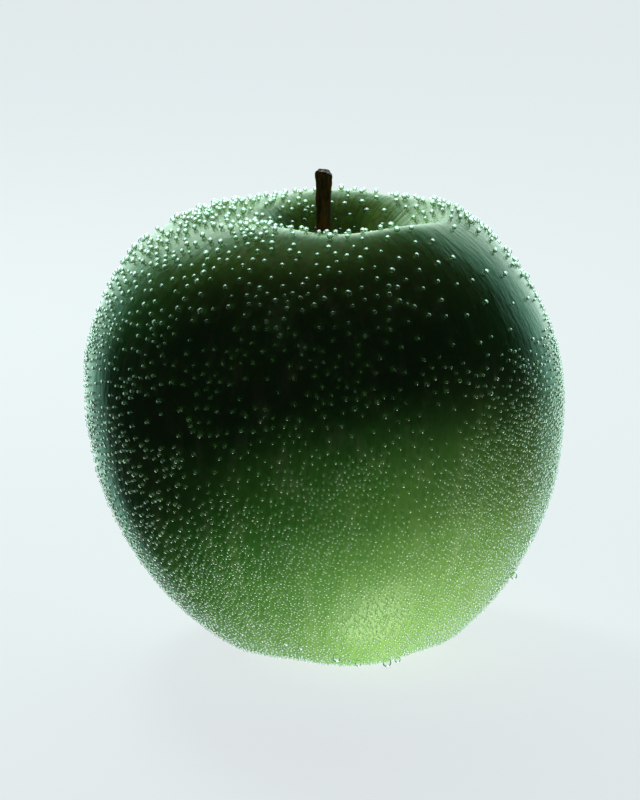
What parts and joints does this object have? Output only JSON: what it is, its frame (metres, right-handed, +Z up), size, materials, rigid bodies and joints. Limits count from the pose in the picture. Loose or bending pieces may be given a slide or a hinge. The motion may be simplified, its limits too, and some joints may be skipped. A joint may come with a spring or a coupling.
{
  "type": "apple",
  "caption": "Whole green dessert apple with a short woody stem in a deep funnel, a lobed base it stands on, and dried sepals in the flower basin.",
  "frame": {"origin": "on the resting plane, under the middle of the apple's outline", "axes": "+Z up through the apple towards the stem, -Y towards the front of the apple as it is usually seen, +X to the right seen from there"},
  "size_m": [0.08, 0.08, 0.0806],
  "materials": {
    "fruit_skin": "waxy green apple skin, darker at the cheek and yellower near the stem",
    "stem_wood": "dark red-brown bark, matt",
    "dried_flower": "dry brown plant tissue, matt",
    "water_beads": "clear round beads of water on the skin"
  },
  "bodies": {
    "root": {"fruit": "fruit_skin", "stem": "stem_wood", "sepal_1": "dried_flower", "sepal_2": "dried_flower", "sepal_3": "dried_flower", "sepal_4": "dried_flower", "sepal_5": "dried_flower", "stamens": "dried_flower"}
  },
  "joints": []
}
